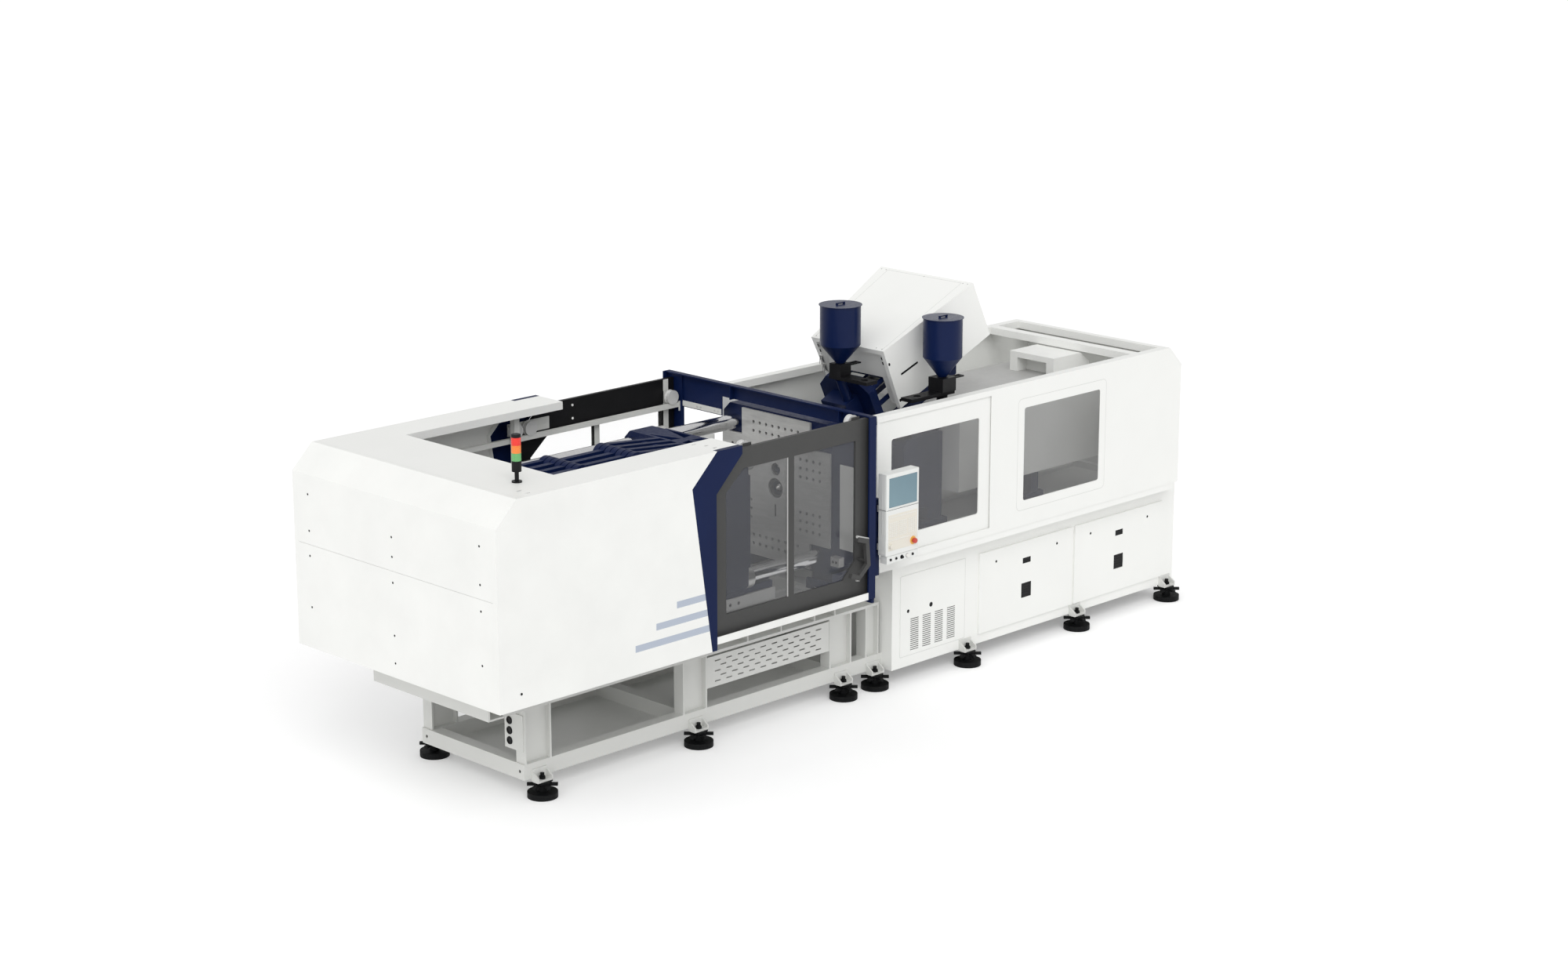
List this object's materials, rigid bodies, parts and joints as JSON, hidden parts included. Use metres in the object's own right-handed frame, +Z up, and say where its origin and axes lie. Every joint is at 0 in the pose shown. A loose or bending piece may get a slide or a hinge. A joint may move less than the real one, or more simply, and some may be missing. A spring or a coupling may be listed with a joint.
{
  "type": "injection moulding machine",
  "caption": "Two-component injection moulding machine: toggle clamp behind sliding guard doors, horizontal and inclined injection units with hoppers, and a swivelling operator panel.",
  "frame": {"origin": "centre of the machine's outline on the floor", "axes": "+X along the machine from the clamp end to the injection end, the operator stands at -Y, +Z up"},
  "size_m": [7.927, 2.388, 3.0798],
  "materials": {
    "body_white": "satin powder coat",
    "frame_white": "satin powder coat",
    "navy_paint": "satin paint",
    "platen_navy": "painted casting",
    "door_dark": "satin powder coat",
    "black_paint": "satin black paint",
    "bare_steel": "ground steel",
    "hard_chrome": "polished hard chrome",
    "roller_steel": "turned steel",
    "window_clear": "clear sheet",
    "foot_black": "matt black",
    "plastic_red": "gloss",
    "lens_plastic": "translucent lens",
    "hopper_navy": "gloss paint",
    "tower_plastic": "fine texture",
    "panel_plastic": "fine texture",
    "knob_light": "fine texture"
  },
  "bodies": {
    "machine": {"lower_rails": "frame_white", "upper_beams": "frame_white", "perforated_panels": "frame_white", "cover_frame": "frame_white", "levelling_feet": "foot_black", "posts_and_brackets": "frame_white", "end_platen": "platen_navy", "fixed_platen": "platen_navy", "tie_bars": "hard_chrome", "nuts_and_end_pins": "bare_steel", "clamp_drive": "black_paint", "clamp_covers": "body_white", "top_cover": "body_white", "signal_tower": "tower_plastic", "signal_lenses": "lens_plastic", "portal_and_trims": "navy_paint", "door_tracks": "frame_white", "injection_base": "body_white", "cabinet_panels": "body_white", "injection_guard": "body_white", "guard_pane": "window_clear"},
    "front_door": {"front_door_frame": "door_dark", "front_door_panes": "window_clear", "front_door_fittings": "bare_steel"},
    "rear_door": {"rear_door_frame": "door_dark", "rear_door_panes": "window_clear", "rear_door_fittings": "bare_steel"},
    "front_wheel_1": {"front_roller_1": "roller_steel"},
    "front_wheel_2": {"front_roller_2": "roller_steel"},
    "rear_wheel_1": {"rear_roller_1": "roller_steel"},
    "rear_wheel_2": {"rear_roller_2": "roller_steel"},
    "rear_wheel_3": {"rear_roller_3": "roller_steel"},
    "rear_set_upper": {"rear_links_upper": "platen_navy"},
    "rear_set_lower": {"rear_links_lower": "platen_navy"},
    "front_set_upper": {"front_links_upper": "platen_navy"},
    "front_set_lower": {"front_links_lower": "platen_navy"},
    "platen": {"moving_platen": "platen_navy", "bushes_and_pins": "bare_steel"},
    "drive_set_upper": {"drive_links_upper": "bare_steel"},
    "drive_set_lower": {"drive_links_lower": "bare_steel"},
    "crosshead_body": {"crosshead": "platen_navy"},
    "screw": {"ball_screw": "bare_steel"},
    "ejector": {"ejector_plate": "bare_steel"},
    "sash": {"sliding_guard": "body_white", "sliding_pane": "window_clear"},
    "panel": {"operator_panel": "panel_plastic"},
    "stop_button": {"emergency_stop": "plastic_red"},
    "key": {"key_switch": "bare_steel"},
    "white_knob": {"strip_knob": "knob_light"},
    "black_knob": {"panel_knob": "knob_light"},
    "horizontal_unit": {"unit_carriage": "navy_paint", "unit_barrel": "bare_steel", "unit_cover": "body_white"},
    "inclined_unit": {"incline_carriage": "navy_paint", "incline_barrel": "bare_steel", "incline_shroud": "body_white"},
    "hopper_one_body": {"hopper_one": "hopper_navy", "hopper_lid_one": "hopper_navy"},
    "hopper_two_body": {"hopper_two": "hopper_navy", "hopper_lid_two": "hopper_navy"}
  },
  "joints": [
    {"name": "front_door_slide", "type": "slide", "parent": "machine", "child": "front_door", "axis": [-1, 0, 0], "range_m": [0, 1.35]},
    {"name": "rear_door_slide", "type": "slide", "parent": "machine", "child": "rear_door", "axis": [-1, 0, 0], "range_m": [0, 1.35]},
    {"name": "front_wheel_1_spin", "type": "hinge", "parent": "front_door", "child": "front_wheel_1", "pos_m": [-1.5435, -1.01, 2.3503], "axis": [0, -1, 0], "continuous": true},
    {"name": "front_wheel_2_spin", "type": "hinge", "parent": "front_door", "child": "front_wheel_2", "pos_m": [-0.4145, -1.01, 2.3503], "axis": [0, -1, 0], "continuous": true},
    {"name": "rear_wheel_1_spin", "type": "hinge", "parent": "rear_door", "child": "rear_wheel_1", "pos_m": [-1.9865, 1.01, 2.2053], "axis": [0, -1, 0], "continuous": true},
    {"name": "rear_wheel_2_spin", "type": "hinge", "parent": "rear_door", "child": "rear_wheel_2", "pos_m": [-1.8455, 1.01, 2.2053], "axis": [0, -1, 0], "continuous": true},
    {"name": "rear_wheel_3_spin", "type": "hinge", "parent": "rear_door", "child": "rear_wheel_3", "pos_m": [-0.3735, 1.01, 2.2053], "axis": [0, -1, 0], "continuous": true},
    {"name": "toggle_fold", "type": "hinge", "parent": "machine", "child": "rear_set_upper", "pos_m": [-2.9235, 0, 2.149], "axis": [0, 1, 0], "range_deg": [0, 51]},
    {"name": "toggle_fold_lower", "type": "hinge", "parent": "machine", "child": "rear_set_lower", "pos_m": [-2.9235, 0, 1.079], "axis": [0, -1, 0], "range_deg": [0, 51]},
    {"name": "knee_upper", "type": "hinge", "parent": "rear_set_upper", "child": "front_set_upper", "pos_m": [-2.3835, 0, 2.149], "axis": [0, -1, 0], "range_deg": [0, 102]},
    {"name": "knee_lower", "type": "hinge", "parent": "rear_set_lower", "child": "front_set_lower", "pos_m": [-2.3835, 0, 1.079], "axis": [0, 1, 0], "range_deg": [0, 102]},
    {"name": "platen_pivot", "type": "hinge", "parent": "front_set_upper", "child": "platen", "pos_m": [-1.8435, 0, 2.149], "axis": [0, 1, 0], "range_deg": [0, 51]},
    {"name": "drive_upper", "type": "hinge", "parent": "rear_set_upper", "child": "drive_set_upper", "pos_m": [-2.71683, 0, 2.08974], "axis": [0, -1, 0], "range_deg": [0, 102]},
    {"name": "drive_lower", "type": "hinge", "parent": "rear_set_lower", "child": "drive_set_lower", "pos_m": [-2.71683, 0, 1.13826], "axis": [0, 1, 0], "range_deg": [0, 102]},
    {"name": "crosshead_pivot", "type": "hinge", "parent": "drive_set_upper", "child": "crosshead_body", "pos_m": [-2.51016, 0, 2.149], "axis": [0, 1, 0], "range_deg": [0, 51]},
    {"name": "screw_spin", "type": "hinge", "parent": "machine", "child": "screw", "pos_m": [-3.5735, 0, 1.614], "axis": [1, 0, 0], "continuous": true},
    {"name": "ejector_stroke", "type": "slide", "parent": "platen", "child": "ejector", "axis": [1, 0, 0], "range_m": [0, 0.15]},
    {"name": "injection_guard_slide", "type": "slide", "parent": "machine", "child": "sash", "axis": [1, 0, 0], "range_m": [0, 1.2]},
    {"name": "panel_swivel", "type": "hinge", "parent": "machine", "child": "panel", "pos_m": [-0.1085, -1.015, 1.3], "axis": [0, 0, -1], "range_deg": [0, 45]},
    {"name": "stop_press", "type": "slide", "parent": "panel", "child": "stop_button", "axis": [0, 1, 0], "range_m": [0, 0.006], "stiffness_N_per_m": 900},
    {"name": "key_turn", "type": "hinge", "parent": "panel", "child": "key", "pos_m": [0.0205, -1.139, 1.242], "axis": [0, 1, 0], "range_deg": [0, 90]},
    {"name": "white_knob_turn", "type": "hinge", "parent": "panel", "child": "white_knob", "pos_m": [0.0815, -1.139, 1.242], "axis": [0, 1, 0], "range_deg": [0, 90]},
    {"name": "black_knob_turn", "type": "hinge", "parent": "panel", "child": "black_knob", "pos_m": [-0.1135, -1.139, 1.351], "axis": [0, 1, 0], "range_deg": [0, 90]},
    {"name": "horizontal_unit_slide", "type": "slide", "parent": "machine", "child": "horizontal_unit", "axis": [1, 0, 0], "range_m": [0, 0.35]},
    {"name": "inclined_unit_slide", "type": "slide", "parent": "machine", "child": "inclined_unit", "axis": [0.9041, 0, 0.4274], "range_m": [0, 0.3]},
    {"name": "hopper_one_slide", "type": "slide", "parent": "inclined_unit", "child": "hopper_one_body", "axis": [0, -1, 0], "range_m": [0, 0.25]},
    {"name": "hopper_two_slide", "type": "slide", "parent": "horizontal_unit", "child": "hopper_two_body", "axis": [-1, 0, 0], "range_m": [0, 0.25]}
  ],
  "couplings": [
    {"joint": "front_wheel_1_spin", "follows": "front_door_slide", "rad_per_m": 20},
    {"joint": "front_wheel_2_spin", "follows": "front_door_slide", "rad_per_m": 20},
    {"joint": "rear_wheel_1_spin", "follows": "rear_door_slide", "rad_per_m": 20},
    {"joint": "rear_wheel_2_spin", "follows": "rear_door_slide", "rad_per_m": 20},
    {"joint": "rear_wheel_3_spin", "follows": "rear_door_slide", "rad_per_m": 20},
    {"joint": "toggle_fold_lower", "follows": "toggle_fold", "ratio": 1},
    {"joint": "knee_upper", "follows": "toggle_fold", "ratio": 2},
    {"joint": "knee_lower", "follows": "toggle_fold", "ratio": 2},
    {"joint": "platen_pivot", "follows": "toggle_fold", "ratio": 1},
    {"joint": "drive_upper", "follows": "toggle_fold", "ratio": 2},
    {"joint": "drive_lower", "follows": "toggle_fold", "ratio": 2},
    {"joint": "crosshead_pivot", "follows": "toggle_fold", "ratio": 1}
  ]
}
